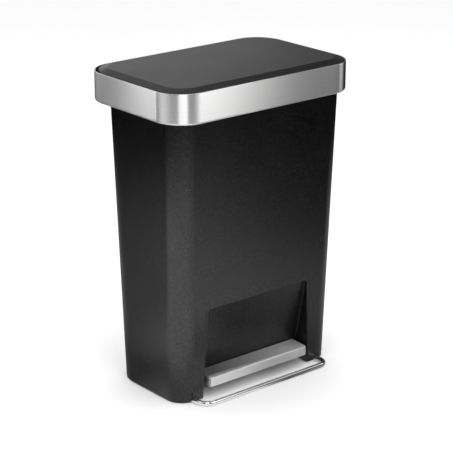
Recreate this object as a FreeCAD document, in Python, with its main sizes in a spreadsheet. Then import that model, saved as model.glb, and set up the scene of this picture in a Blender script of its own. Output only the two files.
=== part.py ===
import FreeCAD, Part
import math
import os

import Sketcher
from FreeCAD import Placement, Rotation, Vector

# A rectangular pedal bin. X runs to the right, the front faces -Y and Z points up from the floor.
# Depths in the sheet count from the middle of the rim. centre_shift then moves every piece
# along Y, so that the origin is under the middle of the whole bin.

DIMENSIONS = {
    "centre_shift": 2.1,
    # a screw head's socket, as a part of the head's radius and length
    "socket_width": 0.55,
    "socket_depth": 0.6,
    # screws: head radius, head length, shank radius and shank length, and the hole for the largest
    "screw_hole": 1.5,
    "base_head": 3.5,
    "base_head_length": 1.8,
    "base_shank": 1.5,
    "base_shank_length": 12,
    "clip_head": 3,
    "clip_head_length": 1.6,
    "clip_shank": 1.4,
    "clip_shank_length": 5.5,
    "pedal_head": 3.2,
    "pedal_head_length": 1.8,
    "pedal_shank": 1.6,
    "pedal_shank_length": 9,
    "axle_head": 3,
    "axle_head_length": 1.6,
    "axle_shank": 1.5,
    "axle_shank_length": 5,
    "cover_head": 3.4,
    "cover_head_length": 1.8,
    "cover_shank": 1.5,
    "cover_shank_length": 4.6,
    "hinge_head": 3.2,
    "hinge_head_length": 1.8,
    "hinge_shank": 1.5,
    "hinge_shank_length": 5.4,
    "pan_head": 3.4,
    "pan_head_length": 1.6,
    "pan_shank": 1.5,
    "pan_shank_length": 8,
    "crank_head": 2.8,
    "crank_head_length": 1.4,
    "crank_shank": 1.3,
    "crank_shank_length": 4.6,
    # steel band and inner frame of the rim
    "rim_width": 474,
    "rim_depth": 306,
    "rim_corner": 63,
    "rim_bottom": 596.3,
    "rim_top": 658.4,
    "band_wall": 1,
    "band_hem": 2.4,
    "hem_height": 2.4,
    "hem_roll": 1.6,
    "band_flange": 7,
    "band_round": 5,
    "frame_gap": 0.2,
    "frame_wall": 2.2,
    "frame_foot": 600.7,
    "frame_top": 648,
    "frame_rear_top": 640,
    "shelf_height": 614,
    "shelf_thick": 3,
    "shelf_rear": 82,
    "ledge_reach": 14,
    "ledge_height": 644,
    "ledge_thick": 3,
    "ledge_end": 84,
    "pad_height": 612.3,
    "pad_radius": 3,
    "pad_side": 150,
    "pad_front": 135.5,
    "pad_edge": 219.4,
    "pad_edge_depth": 40,
    "collar_drop": 14,
    "collar_gap": 0.8,
    "collar_thick": 2.2,
    "collar_end": 55,
    "notch_half": 13,
    "notch_rear": 116,
    # can
    "ground_gap": 2,
    "body_half": 206.3,
    "body_front": 115.2,
    "body_back": 107.2,
    "side_slope": 0.02047,
    "front_slope": 0.03221,
    "back_slope": 0.03406,
    "front_corner": 39.3,
    "back_corner": 66,
    "body_top": 612,
    "body_wall": 2.8,
    "body_lip": 4,
    "floor_under": 58,
    "floor_top": 61,
    "boss_radius": 5,
    "base_screw_side": 190,
    "base_screw_front": 70,
    "base_screw_middle": 20,
    "base_screw_rear": 88,
    "base_screw_inner": 110,
    "base_inset": 3.4,
    "base_under": 3,
    "base_top": 6,
    # pedal recess
    "recess_top": 193.9,
    "recess_knee": 48.5,
    "recess_half_foot": 143.6,
    "recess_half_knee": 141,
    "recess_half_top": 133.3,
    "recess_back": 78.5,
    "recess_back_top": 115.5,
    "recess_arch": 8,
    "recess_round": 2,
    "recess_edge": 1.6,
    "recess_lip": 1.2,
    "window_half": 21,
    "window_top": 44,
    # lid
    "lid_gap": 1.8,
    "lid_edge": 659,
    "lid_flat": 664.2,
    "lid_flat_inset": 23,
    "lid_rear_corner": 74.2,
    "lid_skirt": 653.5,
    "lid_wall": 2.5,
    "pan_inset": 25,
    "pan_top": 661.5,
    "pan_corner": 38,
    "pan_under": 650,
    "pan_rear": 111.5,
    "pan_floor": 2,
    "lid_boss_radius": 4,
    "lid_boss_side": 188,
    "lid_boss_front": 104,
    "lid_boss_rear": 60,
    "bumper_radius": 3,
    "bumper_inset": 10.8,
    "bumper_side": 140,
    "bumper_depth": 30,
    "bumper_gap": 0.3,
    "bumper_height": 9.4,
    # lid hinge inside the rim
    "lid_axis_depth": 122,
    "lid_axis_height": 652,
    "lid_ear_place": 156,
    "lid_ear_half": 4,
    "lid_ear_radius": 7,
    "post_front": 113.5,
    "post_rear": 126.5,
    "knuckle_gap": 0.5,
    "knuckle_wide": 7,
    "knuckle_root": 4,
    "knuckle_neck": 6.5,
    "lid_pin_length": 17,
    "pin_radius": 2.5,
    "running_gap": 0.05,
    # rim hinge behind the can
    "rim_axis_depth": 137,
    "rim_axis_height": 600,
    "rim_hinge_place": 116,
    "rim_ear_half": 4,
    "rim_ear_radius": 6,
    "rim_ear_front": 134,
    "rim_ear_rear": 143,
    "bracket_ear": 6,
    "bracket_gap": 0.5,
    "bracket_foot": 570,
    "bracket_plate": 3,
    "bracket_half": 18,
    "bracket_web": 8,
    "bracket_screw_low": 577,
    "bracket_screw_high": 587,
    "rim_pin_length": 24,
    # push rod
    "rod_depth": 98,
    "rod_radius": 3,
    "rod_foot_end": 24,
    "rod_top": 626,
    "head_half": 4.8,
    "head_front": 90,
    "head_rear": 114,
    "head_under": 616,
    "head_top": 634.2,
    "crank_depth": 106.1,
    "crank_height": 639.8,
    "shoe_radius": 5,
    "crank_inside": 5.5,
    "crank_outside": 8.5,
    "crank_plate": 3,
    "shoe_pin": 2,
    "shoe_half": 5.2,
    "shoe_pin_half": 9.4,
    "crank_half": 15,
    "crank_front": 84,
    "crank_rear": 111,
    "crank_eye": 4.5,
    "crank_screw_side": 11,
    "crank_screw_depth": 89,
    "cover_front": 82,
    "cover_half": 44,
    "cover_wall": 2,
    "cover_top": 597,
    "cover_flange": 12,
    "cover_flange_thick": 2,
    "cover_gap": 0.2,
    "guide_radius": 6,
    "guide_flange": 8,
    "guide_flange_thick": 3,
    "guide_length": 5,
    # damper
    "damper_place": 28,
    "damper_radius": 8,
    "damper_bore": 6.5,
    "damper_low": 330,
    "damper_high": 450,
    "damper_cap": 3,
    "damper_stem": 2,
    "piston_radius": 6.2,
    "piston_low": 372,
    "piston_high": 382,
    "arm_low": 466,
    "arm_high": 474,
    "clamp_low": 342,
    "clamp_high": 428,
    "clamp_length": 10,
    "clamp_half": 11,
    "arm_overhang": 6,
    # pedal
    "pivot_depth": 27,
    "pivot_height": 30,
    "axle_radius": 4,
    "axle_half": 25,
    "cheek_inside": 18,
    "cheek_thick": 3,
    "cheek_front": 47,
    "cheek_rear": 7,
    "cheek_top": 8,
    "cheek_flange": 14,
    "cheek_flange_thick": 2.5,
    "cheek_screw_side": 28,
    "cheek_screw_front": 38,
    "cheek_screw_rear": 16,
    "clip_ring_start": 21.2,
    "clip_ring_radius": 7,
    "clip_ring_thick": 1.5,
    "stop_half": 18,
    "stop_front": 66,
    "stop_rear": 80,
    "stop_top": 12,
    "pedal_half": 132,
    "pedal_front": 126,
    "pedal_rear": 80.4,
    "pedal_bottom": 26.1,
    "pedal_top_front": 45.4,
    "pedal_top_rear": 47.6,
    "pedal_skin": 1.2,
    "pedal_round": 7,
    "pedal_edge": 3,
    "pedal_lip": 12,
    "core_inset": 9,
    "core_gap": 0.2,
    "pedal_screw_front": 108,
    "pedal_screw_rear": 92,
    "lever_half": 15,
    "lever_sheet": 2,
    "lever_top": 33,
    "lever_front": 118,
    "lever_hump": 9,
    "link_eye": 6.3,
    "link_depth": 97.4,
    "link_height": 17.8,
    "link_radius": 3,
    "link_slot": 3.3,
    "foot_half": 5,
    "foot_front": 91,
    "foot_rear": 103.6,
    "foot_bottom": 11.6,
    "foot_top": 32,
    # stabiliser
    "bar_radius": 5.2,
    "bar_front": 152,
    "bar_half": 168,
    "bar_bend": 22,
    "bar_end": 20,
    "bar_slot": 9.6,
    "bar_slot_rear": 16,
    "bar_play": 0.6,
    "clip_front": 98,
    "clip_rear": 40,
    "clip_half_length": 7,
    "clip_half_width": 8.9,
    "clip_half_flange": 19,
    "clip_flange_thick": 3,
    "clip_under": 2.3,
    "clip_top": 14,
    "clip_screw": 14.5,
    # feet
    "front_foot_side": 188,
    "front_foot_depth": 24,
    "front_foot_radius": 8,
    "rear_foot_side": 150,
    "rear_foot_depth": 66,
    "rear_foot_radius": 11,
}

doc = FreeCAD.newDocument("PedalBin")
sheet = doc.addObject("Spreadsheet::Sheet", "Dims")
for row, (alias, size) in enumerate(DIMENSIONS.items(), start=1):
    sheet.set(f"A{row}", alias)
    sheet.set(f"B{row}", str(size))
    sheet.setAlias(f"B{row}", alias)
doc.recompute()

nodes = []
QUARTER = math.pi / 2
XY, XZ, YZ = "XY_Plane", "XZ_Plane", "YZ_Plane"


# ---------------------------------------------------------------- helpers

def dims(expression):
    """Writes a short expression with the sheet's name in front of every alias."""
    words = []
    word = ""
    for letter in str(expression) + " ":
        if letter.isalnum() or letter in "_.":
            word += letter
            continue
        words.append("Dims." + word if word in DIMENSIONS else word)
        words.append(letter)
        word = ""
    return "".join(words).strip()


def number(expression):
    return float(sheet.evalExpression(dims(expression)))


def minus(expression):
    return f"-({expression})"


def new_body(label):
    body = doc.addObject("PartDesign::Body", label)
    body.Label = label
    body.AllowCompound = True
    body.setExpression(".Placement.Base.y", dims("centre_shift"))
    nodes.append(body)
    return body


def new_sketch(body, plane, height="0"):
    """A sketch on one of the body's own planes, moved out along the plane's normal.

    The XZ plane's normal is -Y, so a height there counts towards the front."""
    sketch = body.newObject("Sketcher::SketchObject", body.Label + "_sketch")
    base = [item for item in body.Origin.OriginFeatures if item.Role == plane][0]
    sketch.AttachmentSupport = [(base, "")]
    sketch.MapMode = "FlatFace"
    sketch.setExpression(".AttachmentOffset.Base.z", dims(height))
    return sketch


def pin_value(sketch, kind, items, expression):
    value = number(expression)
    index = sketch.addConstraint(Sketcher.Constraint(kind, *items, value))
    sketch.setExpression(f"Constraints[{index}]", dims(expression))


def pin_point(sketch, geometry, position, x, y):
    pin_value(sketch, "DistanceX", (-1, 1, geometry, position), x)
    pin_value(sketch, "DistanceY", (-1, 1, geometry, position), y)


def polygon(sketch, corners):
    points = [Vector(number(x), number(y), 0) for x, y in corners]
    count = len(points)
    first = sketch.GeometryCount
    for index in range(count):
        end = points[(index + 1) % count]
        sketch.addGeometry(Part.LineSegment(points[index], end), False)
    for index in range(count):
        follower = first + (index + 1) % count
        sketch.addConstraint(Sketcher.Constraint("Coincident", first + index, 2, follower, 1))
    for index, (x, y) in enumerate(corners):
        pin_point(sketch, first + index, 1, x, y)
    return sketch


def rectangle(sketch, left, right, low, high):
    return polygon(sketch, [(left, low), (right, low), (right, high), (left, high)])


def circle(sketch, x, y, radius):
    centre = Vector(number(x), number(y), 0)
    ring = Part.Circle(centre, Vector(0, 0, 1), number(radius))
    index = sketch.addGeometry(ring, False)
    pin_point(sketch, index, 3, x, y)
    pin_value(sketch, "Radius", (index,), radius)
    return sketch


def rounded(sketch, half, front, back, front_radius, back_radius):
    """A rectangle with round corners, as seen from above."""
    wide, low, high = number(half), -number(front), number(back)
    fore, aft = number(front_radius), number(back_radius)
    lines = [
        ((-wide + fore, low), (wide - fore, low)),
        ((wide, low + fore), (wide, high - aft)),
        ((wide - aft, high), (-wide + aft, high)),
        ((-wide, high - aft), (-wide, low + fore)),
    ]
    arcs = [
        (wide - fore, low + fore, fore, -1),
        (wide - aft, high - aft, aft, 0),
        (-wide + aft, high - aft, aft, 1),
        (-wide + fore, low + fore, fore, 2),
    ]
    base = sketch.GeometryCount
    for start, end in lines:
        sketch.addGeometry(Part.LineSegment(Vector(*start, 0), Vector(*end, 0)), False)
    for x, y, radius, turn in arcs:
        ring = Part.Circle(Vector(x, y, 0), Vector(0, 0, 1), radius)
        start = turn * QUARTER
        sketch.addGeometry(Part.ArcOfCircle(ring, start, start + QUARTER), False)
    for index in range(4):
        line, arc, following = base + index, base + 4 + index, base + (index + 1) % 4
        sketch.addConstraint(Sketcher.Constraint("Tangent", line, 2, arc, 1))
        sketch.addConstraint(Sketcher.Constraint("Tangent", arc, 2, following, 1))
    for line, kind in enumerate(("Horizontal", "Vertical", "Horizontal", "Vertical")):
        sketch.addConstraint(Sketcher.Constraint(kind, base + line))
    pin_value(sketch, "DistanceY", (-1, 1, base, 1), minus(front))
    pin_value(sketch, "DistanceX", (-1, 1, base + 1, 1), half)
    pin_value(sketch, "DistanceY", (-1, 1, base + 2, 1), back)
    pin_value(sketch, "DistanceX", (-1, 1, base + 3, 1), minus(half))
    for arc, size in enumerate((front_radius, back_radius, back_radius, front_radius), start=4):
        pin_value(sketch, "Radius", (base + arc,), size)
    return sketch


def volume(body):
    doc.recompute()
    return body.Shape.Volume


def extrude(body, kind, sketch, length):
    """Pads or pockets a sketch along its plane's normal and checks that it did something."""
    before = 0 if body.Tip is None else volume(body)
    feature = body.newObject("PartDesign::" + kind, body.Label + "_" + kind.lower())
    feature.Profile = sketch
    feature.setExpression("Length", dims(length))
    feature.Reversed = kind == "Pocket"
    change = volume(body) - before
    if (change < 0) != (kind == "Pocket"):
        raise RuntimeError(f"{feature.Name} changed the volume by {change}")
    return feature


def pad(body, sketch, length):
    return extrude(body, "Pad", sketch, length)


def pocket(body, sketch, length):
    return extrude(body, "Pocket", sketch, length)


def loft(body, kind, sketches):
    before = 0 if body.Tip is None else volume(body)
    feature = body.newObject("PartDesign::" + kind, body.Label + "_loft")
    feature.Profile = sketches[0]
    feature.Sections = sketches[1:]
    feature.Ruled = True
    change = volume(body) - before
    if (change < 0) != (kind == "SubtractiveLoft"):
        raise RuntimeError(f"{feature.Name} changed the volume by {change}")
    return feature


def fillet(body, radius, wanted):
    """Rounds the edges of the body's tip that the test picks."""
    doc.recompute()
    base = body.Tip
    names = []
    for index, edge in enumerate(base.Shape.Edges, start=1):
        if wanted(edge):
            names.append(f"Edge{index}")
    if not names:
        raise RuntimeError(f"no edge of {body.Label} to round")
    feature = body.newObject("PartDesign::Fillet", body.Label + "_fillet")
    feature.Base = (base, names)
    feature.setExpression("Radius", dims(radius))
    doc.recompute()
    return feature


def level(edge, height):
    """True for an edge that lies at one height."""
    box = edge.BoundBox
    return abs(box.ZMin - number(height)) < 0.01 and abs(box.ZMax - number(height)) < 0.01


def both_sides(place):
    return (place, minus(place))


def upright(kind, name, across, radius, length, x, y, z, direction):
    """A Part cylinder or prism that starts at a point and runs along a direction."""
    item = doc.addObject("Part::" + kind, name)
    item.setExpression(across, dims(radius))
    item.setExpression("Height", dims(length))
    item.Placement = Placement(Vector(), Rotation(Vector(0, 0, 1), Vector(*direction)))
    item.setExpression(".Placement.Base.x", dims(x))
    item.setExpression(".Placement.Base.y", dims(y))
    item.setExpression(".Placement.Base.z", dims(z))
    return item


def cylinder(name, radius, length, x, y, z, direction):
    return upright("Cylinder", name, "Radius", radius, length, x, y, z, direction)


def join(kind, name, base, tool):
    """A Part boolean of two solids."""
    result = doc.addObject("Part::" + kind, name)
    result.Base = base
    result.Tool = tool
    return result


def group(label, items):
    """One node of separate, identical pieces."""
    result = doc.addObject("Part::Compound", label)
    result.Label = label
    result.Links = items
    result.setExpression(".Placement.Base.y", dims("centre_shift"))
    nodes.append(result)
    return result


def screws(label, places, direction, size):
    """Screws whose heads sit on a surface at the given places and whose shanks go in.

    The size is the first word of their four dimensions. Each head has a six-sided socket.
    """
    head_radius, head_length = f"{size}_head", f"{size}_head_length"
    items = []
    for x, y, z in places:
        reach = {"x": x, "y": y, "z": z}
        for axis, part in zip("xyz", direction):
            if part:
                reach[axis] = f"{reach[axis]} - ({part}) * {head_length}"
        top = (reach["x"], reach["y"], reach["z"], direction)
        head = cylinder(label + "_head", head_radius, head_length, *top)
        shank = cylinder(label + "_shank", f"{size}_shank", f"{size}_shank_length", x, y, z, direction)
        socket = upright("Prism", label + "_socket", "Circumradius",
                         f"{head_radius} * socket_width", f"{head_length} * socket_depth", *top)
        both = join("Fuse", label + "_blank", head, shank)
        items.append(join("Cut", label + "_screw", both, socket))
    return group(label, items)


# ---------------------------------------------------------------- can

def side_at(height, inset="0"):
    return f"body_half + side_slope * ({height}) - ({inset})"


def front_at(height, inset="0"):
    return f"body_front + front_slope * ({height}) - ({inset})"


def back_at(height, inset="0"):
    return f"body_back + back_slope * ({height}) - ({inset})"


def can_outline(body, height, inset="0"):
    """The can's outline at a height, moved in by an inset."""
    sketch = new_sketch(body, XY, height)
    return rounded(sketch, side_at(height, inset), front_at(height, inset),
                   back_at(height, inset), f"front_corner - ({inset})",
                   f"back_corner - ({inset})")


def recess_outline(body, height, half, back, grow, front_inset):
    sketch = new_sketch(body, XY, height)
    wide = f"{half} + {grow}"
    return rectangle(sketch, minus(wide), wide, minus(front_at(height, front_inset)),
                     f"{grow} - {back}")


BASE_SCREWS = [("base_screw_side", "-base_screw_front"), ("base_screw_side", "base_screw_middle"),
               ("base_screw_inner", "base_screw_rear")]


def base_screw_places():
    return [(x, y) for wide, y in BASE_SCREWS for x in both_sides(wide)]


def make_body_shell():
    body = new_body("body_shell")
    loft(body, "AdditiveLoft", [can_outline(body, "ground_gap"), can_outline(body, "body_top")])
    lip = "body_top - body_lip"
    pad(body, can_outline(body, lip, "-body_lip"), "body_lip")
    hollow = [can_outline(body, "floor_top", "body_wall"),
              can_outline(body, "body_top + 1", "body_wall")]
    loft(body, "SubtractiveLoft", hollow)
    underside = [can_outline(body, "ground_gap - 1", "body_wall"),
                 can_outline(body, "floor_under", "body_wall")]
    loft(body, "SubtractiveLoft", underside)
    housing = [
        recess_outline(body, "ground_gap", "recess_half_foot", "recess_back", "body_wall",
                       "recess_lip"),
        recess_outline(body, "recess_knee", "recess_half_knee", "recess_back", "body_wall",
                       "recess_lip"),
        recess_outline(body, "recess_top + body_wall", "recess_half_top", "recess_back_top",
                       "body_wall", "recess_lip"),
    ]
    loft(body, "AdditiveLoft", housing)
    recess = [
        recess_outline(body, "ground_gap - 1", "recess_half_foot", "recess_back", "0", "-9"),
        recess_outline(body, "recess_knee", "recess_half_knee", "recess_back", "0", "-9"),
        recess_outline(body, "recess_top", "recess_half_top", "recess_back_top", "0", "-9"),
    ]
    loft(body, "SubtractiveLoft", recess)
    knee, roof = number("recess_knee"), number("recess_top")

    def recess_arch(edge):
        """The top corners of the recess, where its roof meets its cheeks."""
        box = edge.BoundBox
        return level(edge, "recess_top") and box.YMax < 0 and box.XLength < 1 and box.YLength > 3

    fillet(body, "recess_arch", recess_arch)

    def recess_corner(edge):
        """The corners between the back of the recess and its cheeks and roof, above its knee."""
        box = edge.BoundBox
        within = box.ZMin > knee - 0.1 and box.ZMax < roof + 0.1 and box.YMax < 0
        at_back = box.YMax > -number("recess_back_top") - 0.1
        wide = max(abs(box.XMin), abs(box.XMax))
        cheek = box.ZLength > 100 and wide < number("recess_half_knee") + 0.1
        return within and at_back and (cheek or level(edge, "recess_top") and box.XLength > 100)

    fillet(body, "recess_round", recess_corner)

    def recess_rim(edge):
        """The upright edges where the recess opens through the front."""
        box = edge.BoundBox
        outer = box.YMax < 0.2 - number("body_front")
        wide = max(abs(box.XMin), abs(box.XMax))
        return outer and box.ZLength > 20 and wide < number("recess_half_foot") + 0.5

    fillet(body, "recess_edge", recess_rim)
    for x, y in base_screw_places():
        boss = circle(new_sketch(body, XY, "base_top"), x, y, "boss_radius")
        pad(body, boss, "floor_under - base_top + 1")
        hole = circle(new_sketch(body, XY, "base_top - 1"), x, y, "screw_hole")
        pocket(body, hole, "base_shank_length")
    window = new_sketch(body, XZ, "recess_back - body_wall - 1")
    rectangle(window, "-window_half", "window_half", "ground_gap - 1", "window_top")
    pocket(body, window, "body_wall + 2")
    rod_hole = circle(new_sketch(body, XY, "floor_under - 1"), "0", "rod_depth", "guide_radius")
    pocket(body, rod_hole, "floor_top - floor_under + 2")
    slots = new_sketch(body, XZ, "100")
    for place in both_sides("bar_half"):
        rectangle(slots, f"{place} - bar_radius - bar_play", f"{place} + bar_radius + bar_play",
                  "ground_gap - 1", "bar_radius * 2 + bar_play")
    pocket(body, slots, "30")
    return body


def make_base():
    body = new_body("base_plate")
    outline = new_sketch(body, XY, "base_under")
    rounded(outline, side_at("base_under", "base_inset"), front_at("base_under", "base_inset"),
            back_at("base_under", "base_inset"), "front_corner - base_inset",
            "back_corner - base_inset")
    pad(body, outline, "base_top - base_under")
    opening = new_sketch(body, XY, "base_under - 1")
    wide = "recess_half_foot + body_wall + 0.4"
    rectangle(opening, minus(wide), wide, "-body_front", "0.4 + body_wall - recess_back")
    pocket(body, opening, "base_top - base_under + 2")
    slots = new_sketch(body, XY, "base_under - 1")
    for place in both_sides("bar_half"):
        rectangle(slots, f"{place} - bar_slot", f"{place} + bar_slot", "-body_front",
                  "-bar_slot_rear")
    pocket(body, slots, "base_top - base_under + 2")
    holes = new_sketch(body, XY, "base_under - 1")
    for x, y in base_screw_places():
        circle(holes, x, y, "screw_hole")
    pocket(body, holes, "base_top - base_under + 2")

    places = [(x, y, "base_under") for x, y in base_screw_places()]
    screws("base_screws", places, (0, 0, 1), "base")

    feet = new_body("rubber_feet")
    spots = new_sketch(feet, XY)
    for x in both_sides("front_foot_side"):
        circle(spots, x, "-front_foot_depth", "front_foot_radius")
    for x in both_sides("rear_foot_side"):
        circle(spots, x, "rear_foot_depth", "rear_foot_radius")
    pad(feet, spots, "base_under")


# ---------------------------------------------------------------- stabiliser

def make_stabiliser():
    body = new_body("stabiliser_bar")
    path = new_sketch(body, XY, "bar_radius")
    side, front, end = number("bar_half"), -number("bar_front"), -number("bar_end")
    bend = number("bar_bend")
    path.addGeometry(Part.LineSegment(Vector(-side, end, 0), Vector(-side, front + bend, 0)))
    path.addGeometry(Part.LineSegment(Vector(bend - side, front, 0),
                                      Vector(side - bend, front, 0)))
    path.addGeometry(Part.LineSegment(Vector(side, front + bend, 0), Vector(side, end, 0)))
    left = Part.Circle(Vector(bend - side, front + bend, 0), Vector(0, 0, 1), bend)
    right = Part.Circle(Vector(side - bend, front + bend, 0), Vector(0, 0, 1), bend)
    path.addGeometry(Part.ArcOfCircle(left, 2 * QUARTER, 3 * QUARTER))
    path.addGeometry(Part.ArcOfCircle(right, -QUARTER, 0))
    for first, at_first, second, at_second in ((0, 2, 3, 1), (3, 2, 1, 1), (1, 2, 4, 1), (4, 2, 2, 1)):
        path.addConstraint(Sketcher.Constraint("Tangent", first, at_first, second, at_second))
    path.addConstraint(Sketcher.Constraint("Vertical", 0))
    path.addConstraint(Sketcher.Constraint("Horizontal", 1))
    path.addConstraint(Sketcher.Constraint("Vertical", 2))
    pin_point(path, 0, 1, "-bar_half", "-bar_end")
    pin_point(path, 2, 2, "bar_half", "-bar_end")
    pin_value(path, "DistanceY", (-1, 1, 1, 1), "-bar_front")
    pin_value(path, "Radius", (3,), "bar_bend")
    pin_value(path, "Radius", (4,), "bar_bend")
    section = circle(new_sketch(body, XZ, "bar_end"), "-bar_half", "bar_radius", "bar_radius")
    doc.recompute()
    pipe = body.newObject("PartDesign::AdditivePipe", "stabiliser_pipe")
    pipe.Profile = section
    pipe.Spine = (path, [f"Edge{index + 1}" for index in range(5)])
    doc.recompute()

    clips = new_body("stabiliser_clips")
    flange_top = "base_top + clip_flange_thick"
    places = [(x, y) for x in both_sides("bar_half") for y in ("clip_rear", "clip_front")]
    spots = []
    for x, y in places:
        start = f"{y} - clip_half_length"
        block = new_sketch(clips, XZ, start)
        rectangle(block, f"{x} - clip_half_width", f"{x} + clip_half_width", "clip_under", "clip_top")
        pad(clips, block, "clip_half_length * 2")
        flange = new_sketch(clips, XZ, start)
        rectangle(flange, f"{x} - clip_half_flange", f"{x} + clip_half_flange", "base_top",
                  flange_top)
        pad(clips, flange, "clip_half_length * 2")
        bore = new_sketch(clips, XZ, f"{start} - 1")
        circle(bore, x, "bar_radius", "bar_radius + running_gap")
        pocket(clips, bore, "clip_half_length * 2 + 2")
        spots.append((f"{x} - clip_screw", minus(y), flange_top))
        spots.append((f"{x} + clip_screw", minus(y), flange_top))
    screws("clip_screws", spots, (0, 0, -1), "clip")


# ---------------------------------------------------------------- pedal and lever

LEVER_SIDE = [
    ("-lever_front", "lever_top"), ("-lever_front", "lever_top - 5"), ("-90", "25.5"),
    ("-pivot_depth - 6", "20"), ("link_depth", "link_height - link_eye"),
    ("link_depth + link_eye", "link_height"), ("link_depth", "link_height + link_eye"),
    ("-pivot_depth + 4", "pivot_height + lever_hump"),
    ("-pivot_depth - 6", "pivot_height + lever_hump"), ("-79", "lever_top"),
]


def make_lever():
    body = new_body("pedal_lever")
    outside = polygon(new_sketch(body, YZ, "-lever_half"), LEVER_SIDE)
    pad(body, outside, "lever_half * 2")
    ahead, behind, below = "-lever_front - 1", "link_depth + link_eye + 3", "4"
    link_top = "link_height + link_eye - lever_sheet"
    hump_top = "pivot_height + lever_hump - lever_sheet"
    lowered = [
        (ahead, "lever_top - lever_sheet"), (ahead, below), (behind, below), (behind, link_top),
        ("link_depth", link_top), ("-pivot_depth + 4", hump_top), ("-pivot_depth - 6", hump_top),
        ("-79", "lever_top - lever_sheet"),
    ]
    inside = polygon(new_sketch(body, YZ, "lever_sheet - lever_half"), lowered)
    pocket(body, inside, "(lever_half - lever_sheet) * 2")
    fork = new_sketch(body, XY, "0")
    rectangle(fork, "lever_sheet - lever_half", "lever_half - lever_sheet", "82", "120")
    pocket(body, fork, "60")
    axle_hole = new_sketch(body, YZ, "-lever_half - 1")
    circle(axle_hole, "-pivot_depth", "pivot_height", "axle_radius + running_gap")
    circle(axle_hole, "link_depth", "link_height", "link_radius")
    pocket(body, axle_hole, "lever_half * 2 + 2")

    pin = new_body("link_pin")
    pad(pin, circle(new_sketch(pin, YZ, "-lever_half - 2"), "link_depth", "link_height",
                    "link_radius"), "lever_half * 2 + 4")


def pedal_profile(inset):
    return [
        (f"-pedal_front + {inset}", f"pedal_bottom + {inset}"),
        (f"-pedal_rear - {inset}", f"pedal_bottom + {inset}"),
        (f"-pedal_rear - {inset}", f"pedal_top_rear - {inset}"),
        (f"-pedal_front + {inset}", f"pedal_top_front - {inset}"),
    ]


def make_pedal():
    skin = new_body("pedal_plate")
    pad(skin, polygon(new_sketch(skin, YZ, "-pedal_half"), pedal_profile("0")), "pedal_half * 2")
    front = -number("pedal_front")

    def upright_front(edge):
        box = edge.BoundBox
        return box.YMax < front + 0.01 and box.ZLength > 1

    fillet(skin, "pedal_round", upright_front)
    top = number("pedal_top_front")

    def top_front(edge):
        box = edge.BoundBox
        near = box.ZMin > top - 0.5 and box.ZMax < number("pedal_top_rear") - 0.3
        return near and box.YMin < front + 9

    fillet(skin, "pedal_edge", top_front)
    inner = new_sketch(skin, YZ, "pedal_skin - pedal_half")
    hollow = [
        ("-pedal_front + pedal_skin + 1", "pedal_bottom + pedal_skin"),
        ("-pedal_rear + 1", "pedal_bottom + pedal_skin"),
        ("-pedal_rear + 1", "pedal_top_rear - pedal_skin"),
        ("-pedal_front + pedal_skin + 1", "pedal_top_front - pedal_skin - 1"),
    ]
    polygon(inner, hollow)
    pocket(skin, inner, "(pedal_half - pedal_skin) * 2")
    under = new_sketch(skin, XY, "pedal_bottom - 1")
    rectangle(under, "pedal_lip - pedal_half", "pedal_half - pedal_lip", "pedal_lip - pedal_front",
              "1 - pedal_rear")
    pocket(skin, under, "pedal_skin + 2")

    core = new_body("pedal_core")
    block = [
        ("-pedal_front + pedal_skin + 1 + core_gap", "pedal_bottom + pedal_skin + core_gap"),
        ("-pedal_rear - 0.6", "pedal_bottom + pedal_skin + core_gap"),
        ("-pedal_rear - 0.6", "pedal_top_rear - pedal_skin - core_gap"),
        ("-pedal_front + pedal_skin + 1 + core_gap", "pedal_top_front - pedal_skin - 1 - core_gap"),
    ]
    pad(core, polygon(new_sketch(core, YZ, "core_inset - pedal_half"), block),
        "(pedal_half - core_inset) * 2")
    channel = new_sketch(core, YZ, "-lever_half - 0.3")
    rectangle(channel, "-pedal_front", "-pedal_rear + 2", "pedal_bottom", "lever_top")
    pocket(core, channel, "lever_half * 2 + 0.6")
    spots = [("0", minus(depth), "lever_top - lever_sheet")
             for depth in ("pedal_screw_front", "pedal_screw_rear")]
    screws("pedal_screws", spots, (0, 0, 1), "pedal")


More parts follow.
